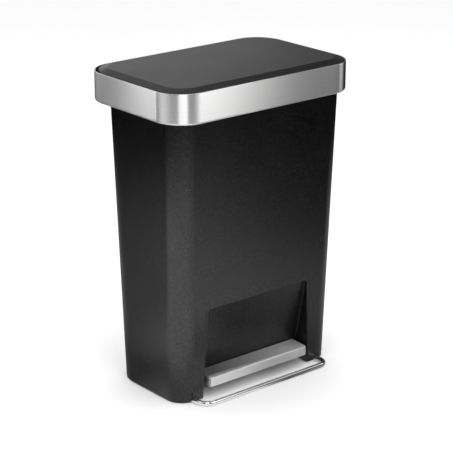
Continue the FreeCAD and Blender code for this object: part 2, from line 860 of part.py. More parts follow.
def make_pivot():
    brackets = new_body("axle_brackets")
    for start in ("cheek_inside", "-cheek_inside - cheek_thick"):
        cheek = new_sketch(brackets, YZ, start)
        polygon(cheek, [("-cheek_front", "base_top"), ("-cheek_rear", "base_top"),
                        ("-pivot_depth + 8", "pivot_height + cheek_top - 2"),
                        ("-pivot_depth + 4", "pivot_height + cheek_top"),
                        ("-pivot_depth - 4", "pivot_height + cheek_top"),
                        ("-pivot_depth - 8", "pivot_height + cheek_top - 2")])
        pad(brackets, cheek, "cheek_thick")
    for start in ("cheek_inside + 2", "-cheek_inside - 2 - cheek_flange"):
        flange = new_sketch(brackets, XY, "base_top")
        rectangle(flange, start, f"{start} + cheek_flange", "-cheek_front", "-cheek_rear")
        pad(brackets, flange, "cheek_flange_thick")
    outside = "cheek_inside + cheek_thick + 1"
    hole = new_sketch(brackets, YZ, minus(outside))
    circle(hole, "-pivot_depth", "pivot_height", "axle_radius")
    pocket(brackets, hole, f"({outside}) * 2")
    spots = [(x, minus(y), "base_top + cheek_flange_thick") for x in both_sides("cheek_screw_side")
             for y in ("cheek_screw_front", "cheek_screw_rear")]
    screws("bracket_screws", spots, (0, 0, -1), "axle")

    axle = new_body("pedal_axle")
    pad(axle, circle(new_sketch(axle, YZ, "-axle_half"), "-pivot_depth", "pivot_height",
                     "axle_radius"), "axle_half * 2")
    clips = new_body("axle_clips")
    for start in ("clip_ring_start", "-clip_ring_start - clip_ring_thick"):
        pad(clips, circle(new_sketch(clips, YZ, start), "-pivot_depth", "pivot_height",
                          "clip_ring_radius"), "clip_ring_thick")
    pocket(clips, circle(new_sketch(clips, YZ, "-axle_half"), "-pivot_depth", "pivot_height",
                         "axle_radius"), "axle_half * 2")

    stop = new_body("lever_stop")
    pad(stop, rectangle(new_sketch(stop, XY, "base_top"), "-stop_half", "stop_half", "stop_front",
                        "stop_rear"), "stop_top - base_top")


# ---------------------------------------------------------------- push rod and damper

def make_rod():
    rod = new_body("push_rod")
    pad(rod, circle(new_sketch(rod, XY, "rod_foot_end"), "0", "rod_depth", "rod_radius"),
        "rod_top - rod_foot_end")

    foot = new_body("rod_foot")
    side = [("foot_front", "foot_bottom"), ("foot_rear", "foot_bottom"),
            ("foot_rear", "foot_top - 4"), ("rod_depth + 4", "foot_top"),
            ("rod_depth - 4", "foot_top"), ("foot_front", "foot_top - 4")]
    pad(foot, polygon(new_sketch(foot, YZ, "-foot_half"), side), "foot_half * 2")
    slot = new_sketch(foot, YZ, "-foot_half - 1")
    rectangle(slot, "link_depth - 3.8", "link_depth + 4.2", "link_height - link_slot",
              "link_height + link_slot")
    pocket(foot, slot, "foot_half * 2 + 2")
    socket = circle(new_sketch(foot, XY, "rod_foot_end"), "0", "rod_depth", "rod_radius")
    pocket(foot, socket, "20")

    head = new_body("rod_head")
    side = [("head_front", "head_top"), ("head_front", "head_top - 5"),
            ("rod_depth - 4", "head_under"), ("rod_depth + 4", "head_under"),
            ("head_rear", "head_top - 5"), ("head_rear", "head_top")]
    pad(head, polygon(new_sketch(head, YZ, "-head_half"), side), "head_half * 2")
    socket = circle(new_sketch(head, XY, "head_under - 1"), "0", "rod_depth", "rod_radius")
    pocket(head, socket, "rod_top - head_under + 1")

    guides = new_body("rod_guides")
    for base in ("floor_under", "cover_top - cover_wall"):
        sleeve = circle(new_sketch(guides, XY, base), "0", "rod_depth", "guide_radius")
        pad(guides, sleeve, "guide_length")
    for base in ("floor_top", "cover_top"):
        flange = circle(new_sketch(guides, XY, base), "0", "rod_depth", "guide_flange")
        pad(guides, flange, "guide_flange_thick")
        bore = circle(new_sketch(guides, XY, f"{base} - 6"), "0", "rod_depth",
                      "rod_radius + running_gap")
        pocket(guides, bore, "12")


COVER_SCREW_HEIGHTS = ("110", "330", "550")


def wall_inside(height, gap="0"):
    """Depth of the can's rear wall on the inside."""
    return back_at(height, f"body_wall + {gap}")


def make_rod_cover():
    cover = new_body("rod_cover")
    low, high = "floor_top", "cover_top"
    flange_face = "cover_gap + cover_flange_thick"
    channel = [("cover_front", low), (wall_inside(low, "cover_gap"), low),
               (wall_inside(high, "cover_gap"), high), ("cover_front", high)]
    pad(cover, polygon(new_sketch(cover, YZ, "-cover_half"), channel), "cover_half * 2")
    flange = [(wall_inside(low, flange_face), low), (wall_inside(low, "cover_gap"), low),
              (wall_inside(high, "cover_gap"), high), (wall_inside(high, flange_face), high)]
    pad(cover, polygon(new_sketch(cover, YZ, "-cover_half - cover_flange"), flange),
        "(cover_half + cover_flange) * 2")
    below, above = "floor_top - 1", "cover_top - cover_wall"
    hollow = [("cover_front + cover_wall", below), (wall_inside(below, "-5"), below),
              (wall_inside(above, "-5"), above), ("cover_front + cover_wall", above)]
    pocket(cover, polygon(new_sketch(cover, YZ, "cover_wall - cover_half"), hollow),
           "(cover_half - cover_wall) * 2")
    hole = circle(new_sketch(cover, XY, above), "0", "rod_depth", "guide_radius")
    pocket(cover, hole, "cover_wall + 2")
    spots = []
    for x in both_sides("cover_half + cover_flange / 2"):
        for height in COVER_SCREW_HEIGHTS:
            spots.append((x, wall_inside(height, flange_face), height))
    screws("rod_cover_screws", spots, (0, 1, 0), "cover")


def make_damper():
    tube = new_body("damper_cylinder")
    at_depth = ("damper_place", "rod_depth")
    pad(tube, circle(new_sketch(tube, XY, "damper_low"), *at_depth, "damper_radius"),
        "damper_high - damper_low")
    pocket(tube, circle(new_sketch(tube, XY, "damper_low + damper_cap"), *at_depth, "damper_bore"),
           "damper_high - damper_low - damper_cap * 2")
    pocket(tube, circle(new_sketch(tube, XY, "damper_high - damper_cap - 1"), *at_depth,
                        "damper_stem + running_gap"), "damper_cap + 2")

    clamps = new_body("damper_clamps")
    for low in ("clamp_low", "clamp_high"):
        high = f"{low} + clamp_length"
        block = [("rod_depth", low), (wall_inside(low, "cover_gap"), low),
                 (wall_inside(high, "cover_gap"), high), ("rod_depth", high)]
        pad(clamps, polygon(new_sketch(clamps, YZ, "damper_place - clamp_half"), block),
            "clamp_half * 2")
    pocket(clamps, circle(new_sketch(clamps, XY, "damper_low"), *at_depth, "damper_radius"),
           "damper_high - damper_low")

    stem = new_body("damper_rod")
    pad(stem, circle(new_sketch(stem, XY, "piston_low"), *at_depth, "damper_stem"),
        "arm_high - piston_low")
    pad(stem, circle(new_sketch(stem, XY, "piston_low"), *at_depth, "piston_radius"),
        "piston_high - piston_low")

    arm = new_body("damper_arm")
    bar = new_sketch(arm, XY, "arm_low")
    rectangle(bar, "-arm_overhang - 1", "damper_place + arm_overhang", "rod_depth - arm_overhang",
              "rod_depth + arm_overhang")
    pad(arm, bar, "arm_high - arm_low")
    holes = new_sketch(arm, XY, "arm_low - 1")
    circle(holes, "0", "rod_depth", "rod_radius")
    circle(holes, *at_depth, "damper_stem")
    pocket(arm, holes, "arm_high - arm_low + 2")


# ---------------------------------------------------------------- rim

def rim_outline(body, height, inset):
    """The rim's outline moved in by an inset, at a height."""
    sketch = new_sketch(body, XY, height)
    corner = f"rim_corner - ({inset})"
    half_depth = f"rim_depth / 2 - ({inset})"
    return rounded(sketch, f"rim_width / 2 - ({inset})", half_depth, half_depth, corner, corner)


def make_rim_band():
    band = new_body("rim_band")
    pad(band, rim_outline(band, "rim_bottom", "0"), "rim_top - rim_bottom")
    inside = rim_outline(band, "rim_bottom + band_wall", "band_wall")
    pocket(band, inside, "rim_top - rim_bottom - band_wall - hem_height")
    floor_level = "rim_bottom + band_wall"

    def inner_foot(edge):
        return level(edge, floor_level)

    fillet(band, "band_round - band_wall", inner_foot)

    def outer_foot(edge):
        return level(edge, "rim_bottom")

    fillet(band, "band_round", outer_foot)
    pocket(band, rim_outline(band, "rim_bottom - 1", "band_flange"), "band_wall + 2")
    pocket(band, rim_outline(band, "rim_top - hem_height - 1", "band_hem"), "hem_height + 2")

    def reach(edge):
        """How far an edge lies from the outline that the hem's inner edge follows."""
        box = edge.BoundBox
        inner = number("rim_width / 2 - band_hem"), number("rim_depth / 2 - band_hem")
        return max(max(box.XMax, -box.XMin) - inner[0], max(box.YMax, -box.YMin) - inner[1])

    def outer_hem(edge):
        return level(edge, "rim_top") and reach(edge) > 1

    fillet(band, "hem_roll", outer_hem)

    def inner_hem(edge):
        return level(edge, "rim_top") and reach(edge) < 0.1

    fillet(band, "0.5", inner_hem)


def rear_clearing(body, low, high, inset, start):
    """Removes what lies behind a given depth inside the rim, between two heights."""
    sketch = new_sketch(body, XY, low)
    rounded(sketch, f"rim_width / 2 - ({inset})", minus(start), f"rim_depth / 2 - ({inset})",
            "2", f"rim_corner - ({inset})")
    pocket(body, sketch, f"{high} - ({low})")


def ear(body, start, width, y, z, radius):
    """A round hinge ear about an axis that runs along X."""
    pad(body, circle(new_sketch(body, YZ, start), y, z, radius), width)


def ear_starts(place, half):
    """Where the pieces of a left and right pair begin along X."""
    return (f"{place} - {half}", f"-({place}) - {half}")


def make_rim_frame():
    frame = new_body("rim_frame")
    skin = "band_wall + frame_gap"
    inner = f"{skin} + frame_wall"
    shelf_top = "shelf_height + shelf_thick"
    collar = "body_wall + collar_gap"
    collar_foot = "shelf_height - collar_drop"
    pad(frame, rim_outline(frame, "frame_foot", skin), "frame_top - frame_foot")
    pocket(frame, rim_outline(frame, shelf_top, inner), f"frame_top - ({shelf_top}) + 1")
    pocket(frame, rim_outline(frame, "frame_foot - 1", inner), "shelf_height - frame_foot + 1")
    # a collar hangs into the mouth of the can at the front and sides
    pad(frame, can_outline(frame, collar_foot, collar), "collar_drop + 1")
    rear_clearing(frame, f"{collar_foot} - 1", "shelf_height", inner, "collar_end")
    mouth = new_sketch(frame, XY, f"{collar_foot} - 1")
    edge = f"{collar} + collar_thick"
    rounded(mouth, side_at(collar_foot, edge), front_at(collar_foot, edge), "shelf_rear",
            f"front_corner - ({edge})", "30")
    pocket(frame, mouth, f"{shelf_top} - ({collar_foot}) + 2")
    # the lid's seat runs round the front and sides
    seat = rim_outline(frame, "ledge_height", f"{inner} - 0.5")
    inside = "rim_depth / 2 - ledge_reach"
    rounded(seat, "rim_width / 2 - ledge_reach", inside, inside, "rim_corner - ledge_reach",
            "rim_corner - ledge_reach")
    pad(frame, seat, "ledge_thick")
    rear_clearing(frame, "frame_rear_top", "frame_top + 1", "band_wall", "ledge_end")
    for start in ear_starts("lid_ear_place", "lid_ear_half"):
        post = new_sketch(frame, YZ, start)
        rectangle(post, "post_front", "post_rear", f"{shelf_top} - 1", "lid_axis_height")
        pad(frame, post, "lid_ear_half * 2")
        ear(frame, start, "lid_ear_half * 2", "lid_axis_depth", "lid_axis_height",
            "lid_ear_radius")
    for start in ear_starts("rim_hinge_place", "rim_ear_half"):
        hanger = new_sketch(frame, YZ, start)
        rectangle(hanger, "rim_ear_front", "rim_ear_rear", "rim_axis_height", "shelf_height + 1")
        pad(frame, hanger, "rim_ear_half * 2")
        ear(frame, start, "rim_ear_half * 2", "rim_axis_depth", "rim_axis_height",
            "rim_ear_radius")
    for y, z, reach in (("lid_axis_depth", "lid_axis_height", "lid_ear_place + 8"),
                        ("rim_axis_depth", "rim_axis_height", "rim_hinge_place + 8")):
        bore = circle(new_sketch(frame, YZ, minus(reach)), y, z, "pin_radius + running_gap")
        pocket(frame, bore, f"({reach}) * 2")
    notch = new_sketch(frame, XY, "shelf_height - 1")
    rectangle(notch, "-notch_half", "notch_half", "shelf_rear - 2", "notch_rear")
    pocket(frame, notch, "shelf_thick + 2")

    pads = new_body("rim_pads")
    spots = new_sketch(pads, XY, "pad_height")
    for x in both_sides("pad_side"):
        circle(spots, x, "-pad_front", "pad_radius")
    for x in both_sides("pad_edge"):
        circle(spots, x, "-pad_edge_depth", "pad_radius")
    pad(pads, spots, "shelf_height - pad_height")


def make_rim_hinge():
    brackets = new_body("rim_hinge_brackets")
    low, high = "bracket_foot", "rim_axis_height + rim_ear_radius"
    plate = [(back_at(low, "-0.05"), low), (back_at(low, "-bracket_plate"), low),
             (back_at(high, "-bracket_plate"), high), (back_at(high, "-0.05"), high)]
    inner_reach = "rim_ear_half + bracket_gap"
    for place in both_sides("rim_hinge_place"):
        pad(brackets, polygon(new_sketch(brackets, YZ, f"{place} - bracket_half"), plate),
            "bracket_half * 2")
        for start in (f"{place} - ({inner_reach}) - bracket_ear", f"{place} + {inner_reach}"):
            web = new_sketch(brackets, YZ, start)
            rectangle(web, "rim_axis_depth - bracket_web", "rim_axis_depth",
                      "rim_axis_height - rim_ear_radius", high)
            pad(brackets, web, "bracket_ear")
            ear(brackets, start, "bracket_ear", "rim_axis_depth", "rim_axis_height",
                "rim_ear_radius")
    reach = "rim_hinge_place + bracket_half"
    bore = circle(new_sketch(brackets, YZ, minus(reach)), "rim_axis_depth", "rim_axis_height",
                  "pin_radius")
    pocket(brackets, bore, f"({reach}) * 2")
    spots = []
    for x in both_sides("rim_hinge_place"):
        for height in ("bracket_screw_low", "bracket_screw_high"):
            spots.append((x, back_at(height, "-bracket_plate"), height))
    screws("hinge_screws", spots, (0, -1, 0), "hinge")

    pins = new_body("rim_hinge_pins")
    for start in ear_starts("rim_hinge_place", "rim_pin_length / 2"):
        ear(pins, start, "rim_pin_length", "rim_axis_depth", "rim_axis_height", "pin_radius")


# ---------------------------------------------------------------- lid

LID_BOSSES = [(x, y) for y in ("-lid_boss_front", "lid_boss_rear") for x in both_sides("lid_boss_side")]


def lid_outline(body, height, inset):
    """The lid's outline. Its rear corners are rounder than the rim's, to clear it as the lid turns."""
    sketch = new_sketch(body, XY, height)
    half_depth = f"rim_depth / 2 - ({inset})"
    return rounded(sketch, f"rim_width / 2 - ({inset})", half_depth, half_depth,
                   f"rim_corner - ({inset})", f"lid_rear_corner - ({inset})")


def make_lid_panel():
    lid = new_body("lid_panel")
    edge = "band_hem + lid_gap"
    inside = f"{edge} + lid_wall"
    pad(lid, lid_outline(lid, "lid_skirt", edge), "lid_edge - lid_skirt")
    loft(lid, "AdditiveLoft", [lid_outline(lid, "lid_edge", edge),
                               lid_outline(lid, "lid_flat", "lid_flat_inset")])
    pocket(lid, lid_outline(lid, "lid_skirt - 1", inside), "lid_edge - lid_skirt - 1.5")
    loft(lid, "SubtractiveLoft", [lid_outline(lid, "lid_edge - 2.5", inside),
                                  lid_outline(lid, "lid_flat - lid_wall", "lid_flat_inset")])
    for x, y in LID_BOSSES:
        pad(lid, circle(new_sketch(lid, XY, "pan_under + pan_floor"), x, y, "lid_boss_radius"),
            "lid_flat - pan_under - pan_floor - 1")
        pocket(lid, circle(new_sketch(lid, XY, "pan_under"), x, y, "screw_hole"),
               "pan_shank_length + 1")

    def top_edge(item):
        return level(item, "lid_flat")

    fillet(lid, "2.5", top_edge)

    def rim_edge(item):
        return level(item, "lid_edge") and item.BoundBox.ZMax < number("lid_edge") + 0.01

    fillet(lid, "1", rim_edge)


def make_lid_pan():
    pan = new_body("lid_underpan")

    def outline(height, inset):
        sketch = new_sketch(pan, XY, height)
        return rounded(sketch, f"rim_width / 2 - pan_inset - {inset}",
                       f"rim_depth / 2 - pan_inset - {inset}", f"pan_rear - {inset}",
                       f"pan_corner - {inset}", f"pan_corner - {inset}")

    pad(pan, outline("pan_under", "0"), "pan_top - pan_under")
    pocket(pan, outline("pan_under + pan_floor", "pan_floor"), "pan_top - pan_under")
    for x, y in LID_BOSSES:
        hole = circle(new_sketch(pan, XY, "pan_under - 1"), x, y, "screw_hole")
        pocket(pan, hole, "pan_floor + 2")
    offset = "lid_ear_place - lid_ear_half - knuckle_gap - knuckle_wide / 2"
    for start in ear_starts(offset, "knuckle_wide / 2"):
        arm = new_sketch(pan, YZ, start)
        polygon(arm, [("pan_rear - knuckle_root", "pan_under"),
                      ("lid_axis_depth", "lid_axis_height - knuckle_neck"),
                      ("lid_axis_depth", "lid_axis_height + knuckle_neck"),
                      ("pan_rear - knuckle_root", "pan_top")])
        pad(pan, arm, "knuckle_wide")
        ear(pan, start, "knuckle_wide", "lid_axis_depth", "lid_axis_height", "lid_ear_radius")
    bore = circle(new_sketch(pan, YZ, "-lid_ear_place"), "lid_axis_depth", "lid_axis_height",
                  "pin_radius")
    pocket(pan, bore, "lid_ear_place * 2")
    spots = [(x, y, "pan_under") for x, y in LID_BOSSES]
    screws("underpan_screws", spots, (0, 0, 1), "pan")

    pins = new_body("lid_hinge_pins")
    for start in ear_starts("lid_ear_place - lid_ear_half", "lid_pin_length / 2"):
        ear(pins, start, "lid_pin_length", "lid_axis_depth", "lid_axis_height", "pin_radius")

    bumpers = new_body("lid_bumpers")
    spots = new_sketch(bumpers, XY, "ledge_height + ledge_thick + bumper_gap")
    for x in both_sides("bumper_side"):
        circle(spots, x, "bumper_inset - rim_depth / 2", "bumper_radius")
    for x in both_sides("rim_width / 2 - bumper_inset"):
        circle(spots, x, "bumper_depth", "bumper_radius")
    pad(bumpers, spots, "bumper_height")


def make_crank():
    crank = new_body("lid_crank")
    under = "pan_under - crank_plate"
    plate = new_sketch(crank, XY, under)
    rectangle(plate, "-crank_half", "crank_half", "crank_front", "crank_rear")
    pad(crank, plate, "crank_plate")
    side = [("97", f"{under} + 1"), ("97", f"{under} - 1"), ("crank_depth - 4.4", "crank_height - 1"),
            ("crank_depth + 4.4", "crank_height - 1"), ("110.8", f"{under} + 1")]
    width = "crank_outside - crank_inside"
    for start in ("crank_inside", "-crank_outside"):
        pad(crank, polygon(new_sketch(crank, YZ, start), side), width)
        ear(crank, start, width, "crank_depth", "crank_height", "crank_eye")
    outside = "-crank_outside - 1"
    bore = circle(new_sketch(crank, YZ, outside), "crank_depth", "crank_height", "shoe_pin")
    pocket(crank, bore, "(crank_outside + 1) * 2")
    spots = [(x, "crank_screw_depth", under) for x in both_sides("crank_screw_side")]
    screws("crank_screws", spots, (0, 0, 1), "crank")

    shoe = new_body("crank_shoe")
    ear(shoe, "-shoe_half", "shoe_half * 2", "crank_depth", "crank_height", "shoe_radius")
    bore = circle(new_sketch(shoe, YZ, "-shoe_half - 1"), "crank_depth", "crank_height", "shoe_pin")
    pocket(shoe, bore, "(shoe_half + 1) * 2")
    pin = new_body("shoe_pin")
    ear(pin, "-shoe_pin_half", "shoe_pin_half * 2", "crank_depth", "crank_height", "shoe_pin")


# ---------------------------------------------------------------- build and write

make_body_shell()
make_base()
make_stabiliser()
make_lever()
make_pedal()
make_pivot()
make_rod()
make_rod_cover()
make_damper()
make_rim_band()
make_rim_frame()
make_rim_hinge()
make_lid_panel()
make_lid_pan()
make_crank()
doc.recompute()

for item in doc.Objects:
    if "Invalid" in item.State or "Error" in item.State:
        raise RuntimeError(f"{item.Label} failed: {item.State}")
os.makedirs("parts", exist_ok=True)
for node in nodes:
    if node.Shape.isNull() or not node.Shape.isValid():
        raise RuntimeError(f"{node.Label} has no valid shape")
    node.Shape.exportStep(f"parts/{node.Label}.step")
    print(node.Label, len(node.Shape.Solids), round(node.Shape.Volume / 1000, 1))
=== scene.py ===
"""The looks of a pedal trash can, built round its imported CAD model."""
import math

import bpy
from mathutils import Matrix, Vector


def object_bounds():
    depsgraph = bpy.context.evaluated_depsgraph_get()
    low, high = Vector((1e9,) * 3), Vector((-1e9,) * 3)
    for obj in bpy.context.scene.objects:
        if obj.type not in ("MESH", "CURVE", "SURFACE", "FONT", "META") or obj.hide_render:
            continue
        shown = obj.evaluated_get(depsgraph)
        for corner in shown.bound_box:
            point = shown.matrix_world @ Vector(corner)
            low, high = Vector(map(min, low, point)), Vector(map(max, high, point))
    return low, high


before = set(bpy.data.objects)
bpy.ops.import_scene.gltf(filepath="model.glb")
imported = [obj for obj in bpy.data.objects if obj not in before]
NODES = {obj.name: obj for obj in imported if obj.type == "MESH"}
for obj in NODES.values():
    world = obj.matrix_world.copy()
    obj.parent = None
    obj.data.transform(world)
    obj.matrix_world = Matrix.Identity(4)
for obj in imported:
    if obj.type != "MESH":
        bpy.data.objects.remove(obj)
CAD_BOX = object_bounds()
LOW, HIGH = CAD_BOX
MIDDLE = (LOW + HIGH) / 2


# ---------------------------------------------------------------- camera and lights

CAMERA_LENS = 135.4
CAMERA_SHIFT = (0.01095, -0.0156)
CAMERA_AZIMUTH = math.radians(-39.62)
CAMERA_ELEVATION = math.radians(18.99)
CAMERA_DISTANCE = 3.551
CAMERA_TARGET = Vector((MIDDLE.x, MIDDLE.y + 0.0021, 0.3259))
WORLD_STRENGTH = 0.95


def aim(thing, place, target):
    """Puts a camera or light at a place, looking at a target."""
    thing.location = place
    thing.rotation_mode = "QUATERNION"
    thing.rotation_quaternion = (Vector(target) - Vector(place)).to_track_quat("-Z", "Y")


def make_camera():
    data = bpy.data.cameras.new("camera")
    data.sensor_width = 36.0
    data.lens = CAMERA_LENS
    data.shift_x, data.shift_y = CAMERA_SHIFT
    data.clip_start = 0.1
    data.clip_end = 60.0
    camera = bpy.data.objects.new("camera", data)
    bpy.context.scene.collection.objects.link(camera)
    back = Vector((math.sin(CAMERA_AZIMUTH) * math.cos(CAMERA_ELEVATION),
                   -math.cos(CAMERA_AZIMUTH) * math.cos(CAMERA_ELEVATION),
                   math.sin(CAMERA_ELEVATION)))
    aim(camera, CAMERA_TARGET + back * CAMERA_DISTANCE, CAMERA_TARGET)
    bpy.context.scene.camera = camera


def area_light(name, place, target, width, height, power):
    """A soft light that isn't seen in reflections. What is seen there is the tent."""
    data = bpy.data.lights.new(name, "AREA")
    data.shape = "RECTANGLE"
    data.size = width
    data.size_y = height
    data.energy = power
    light = bpy.data.objects.new(name, data)
    bpy.context.scene.collection.objects.link(light)
    aim(light, place, target)
    light.visible_camera = False
    light.visible_glossy = False


def make_world():
    world = bpy.data.worlds.new("studio")
    bpy.context.scene.world = world
    world.use_nodes = True
    background = world.node_tree.nodes["Background"]
    background.inputs["Color"].default_value = (1.0, 1.0, 1.0, 1.0)
    background.inputs["Strength"].default_value = WORLD_STRENGTH


# ---------------------------------------------------------------- material nodes

class Tree:
    """A material's node tree, with short calls for the nodes that the finishes share."""

    def __init__(self, name):
        self.material = bpy.data.materials.new(name)
        self.material.use_nodes = True
        self.nodes = self.material.node_tree.nodes
        self.links = self.material.node_tree.links
        self.shader = self.nodes["Principled BSDF"]
        self.place = self.add("TexCoord").outputs["Object"]

    def add(self, kind, inputs=None, **settings):
        made = self.nodes.new("ShaderNode" + kind)
        for key, value in settings.items():
            setattr(made, key, value)
        for key, value in (inputs or {}).items():
            self.put(made.inputs[key], value)
        return made

    def put(self, socket, value):
        if isinstance(value, bpy.types.NodeSocket):
            self.links.new(value, socket)
        else:
            socket.default_value = value

    def set(self, **values):
        for key, value in values.items():
            self.put(self.shader.inputs[key.replace("_", " ")], value)

    def stretched(self, across):
        """Object coordinates scaled along each axis."""
        return self.add("VectorMath", {0: self.place, 1: across}, operation="MULTIPLY").outputs[0]

    def noise(self, scale, detail, roughness, across=None):
        place = self.place if across is None else self.stretched(across)
        made = self.add("TexNoise", {"Vector": place, "Scale": scale, "Detail": detail,
                                     "Roughness": roughness})
        return made.outputs["Fac"]

    def cells(self, scale, feature="F1"):
        made = self.add("TexVoronoi", {"Vector": self.place, "Scale": scale}, feature=feature)
        return made.outputs["Distance"]

    def span(self, value, low, high, to_low=0.0, to_high=1.0):
        """A value taken from one range to another, clamped."""
        made = self.add("MapRange", {"Value": value, "From Min": low, "From Max": high,
                                     "To Min": to_low, "To Max": to_high})
        return made.outputs["Result"]

    def math(self, operation, first, second=0.0):
        return self.add("Math", {0: first, 1: second}, operation=operation).outputs[0]

    def blend(self, amount, first, second):
        made = self.add("Mix", data_type="RGBA")
        self.put(made.inputs["Factor"], amount)
        self.put(made.inputs[6], first)
        self.put(made.inputs[7], second)
        return made.outputs[2]

    def axis(self, name):
        return self.add("SeparateXYZ", {0: self.place}).outputs[name]

    def bump(self, height, distance, strength, under=None):
        inputs = {"Height": height, "Distance": distance, "Strength": strength}
        if under is not None:
            inputs["Normal"] = under
        return self.add("Bump", inputs).outputs["Normal"]


def grey(level, warm=0.0):
    return (level * (1 + warm), level, level * (1 - warm), 1.0)


# heights in metres between which the can's plastic gets greyer and more scuffed towards the floor
FOOT_FADE = (0.30, 0.03)
# the pedal's recess in the can: half its width, its top and how far back it goes, each with a soft edge
RECESS_HALF_WIDTH = (0.1445, 0.1425)
RECESS_TOP = (0.196, 0.192)
RECESS_BACK = (-0.070, -0.074)
RECESS_DULLNESS = 0.14
SCUFF_DULLNESS = 0.15
PLASTIC_IOR = 1.5


def moulded(name, level, roughness, grain, depth, foot=1.0, scuffs=0.2, recess_painted_light=0.0, flecks=0.25):
    """Injection-moulded plastic with a spark-eroded grain of a given size and depth, in metres.

    A piece that stands on the floor is greyer at its foot, by the factor foot. Given a recess level, the
    pedal's recess is painted paler to that level, as painted light on its walls, and is duller. The colour is
    flecked, by up to the share flecks."""
    tree = Tree(name)
    mottle = tree.noise(14.0, detail=3.0, roughness=0.5)
    speckle = tree.noise(0.5 / grain, detail=2.0, roughness=0.6)
    pits = tree.cells(1.0 / grain, "SMOOTH_F1")
    scratch = tree.noise(70.0, detail=5.0, roughness=0.75, across=(1.0, 1.0, 0.12))
    height = tree.axis("Z")
    low = tree.span(height, *FOOT_FADE)
    worn = tree.math("MULTIPLY", tree.span(scratch, 0.64, 0.78, 0.0, scuffs),
                     tree.math("ADD", tree.math("MULTIPLY", low, 0.8), 0.2))
    tone = tree.blend(low, grey(level), grey(level * foot))
    rough = tree.math("ADD", tree.span(mottle, 0.3, 0.7, roughness - 0.015, roughness + 0.02),
                      tree.span(speckle, 0.3, 0.7, -0.02, 0.025))
    # painted light: the pedal's recess gets a paler tone that brightens its walls, and more roughness
    if recess_painted_light:
        aside = tree.math("ABSOLUTE", tree.axis("X"))
        recess = tree.math("MULTIPLY", tree.span(aside, *RECESS_HALF_WIDTH), tree.span(height, *RECESS_TOP))
        recess = tree.math("MULTIPLY", recess, tree.span(tree.axis("Y"), *RECESS_BACK))
        tone = tree.blend(recess, tone, grey(recess_painted_light))
        rough = tree.math("ADD", rough, tree.math("MULTIPLY", recess, RECESS_DULLNESS))
    fleck = tree.noise(0.4 / grain, detail=1.0, roughness=0.5)
    share = tree.span(fleck, 0.40, 0.64, 1.0 - flecks, 1.0 + 1.4 * flecks)
    flecked = tree.add("VectorMath", {0: tone, "Scale": share}, operation="SCALE").outputs[0]
    tone = tree.blend(worn, flecked, grey(level * 2.0 + 0.006))
    rough = tree.math("ADD", rough, tree.math("MULTIPLY", worn, SCUFF_DULLNESS))
    fine = tree.bump(pits, depth, strength=0.8)
    coarse = tree.bump(speckle, depth * 2.5, strength=0.7, under=fine)
    gloss = tree.span(speckle, 0.38, 0.62, 0.37, 0.63)
    tree.set(Base_Color=tone, Roughness=rough, Normal=coarse, Specular_IOR_Level=gloss)
    tree.shader.inputs["IOR"].default_value = PLASTIC_IOR
    return tree.material


STEEL_WARMTH = 0.004
# wide streaks in brushed steel, as a share of the fine lines' frequency
STREAK_SHARE = 0.17


def brushed(name, level, roughness, across, axis, turn, anisotropy, painted_light_mask=None):
    """Satin steel, brushed along the axes where across is small. Its gleam spreads across the brushing.

    Where the optional mask, a function of the tree, is low, it is painted darker as painted shade; where it
    is high, it keeps its full tone as a painted highlight."""
    tree = Tree(name)
    hair = tree.noise(1.0, detail=3.0, roughness=0.6, across=across)
    streak = tree.noise(1.0, detail=2.0, roughness=0.5, across=tuple(part * STREAK_SHARE for part in across))
    smear = tree.noise(7.0, detail=3.0, roughness=0.6)
    tone = tree.blend(tree.span(streak, 0.3, 0.7), grey(level * 0.93, STEEL_WARMTH),
                      grey(level * 1.03, STEEL_WARMTH))
    tone = tree.blend(tree.span(hair, 0.3, 0.7, 0.0, 0.6), tone, grey(level * 0.9, STEEL_WARMTH))
    # painted light: darker as painted shade where the mask is low, full tone as a painted highlight where it
    # is high
    if painted_light_mask:
        tone = tree.blend(painted_light_mask(tree), grey(level * 0.30, STEEL_WARMTH), tone)
    rough = tree.math("ADD", tree.span(hair, 0.25, 0.75, roughness - 0.03, roughness + 0.03),
                      tree.span(smear, 0.5, 0.75, 0.0, 0.03))
    tangent = tree.add("Tangent", direction_type="RADIAL", axis=axis)
    tree.set(Base_Color=tone, Roughness=rough, Normal=tree.bump(hair, 0.00002, strength=0.6),
             Tangent=tangent.outputs[0])
    tree.shader.inputs["Metallic"].default_value = 1.0
    tree.shader.inputs["Anisotropic"].default_value = anisotropy
    tree.shader.inputs["Anisotropic Rotation"].default_value = turn
    return tree.material


def polished(name, level, roughness):
    """Chrome plate with fine wiping marks and a little water staining."""
    tree = Tree(name)
    wipe = tree.noise(1.0, detail=4.0, roughness=0.6, across=(40.0, 900.0, 900.0))
    stain = tree.noise(38.0, detail=5.0, roughness=0.65)
    tone = tree.blend(tree.span(stain, 0.45, 0.75), grey(level), grey(level * 0.9, 0.01))
    rough = tree.math("ADD", tree.span(wipe, 0.3, 0.7, roughness, roughness + 0.04),
                      tree.span(stain, 0.52, 0.72, 0.0, 0.1))
    tree.set(Base_Color=tone, Roughness=rough, Normal=tree.bump(wipe, 0.000004, strength=0.5))
    tree.shader.inputs["Metallic"].default_value = 1.0
    return tree.material


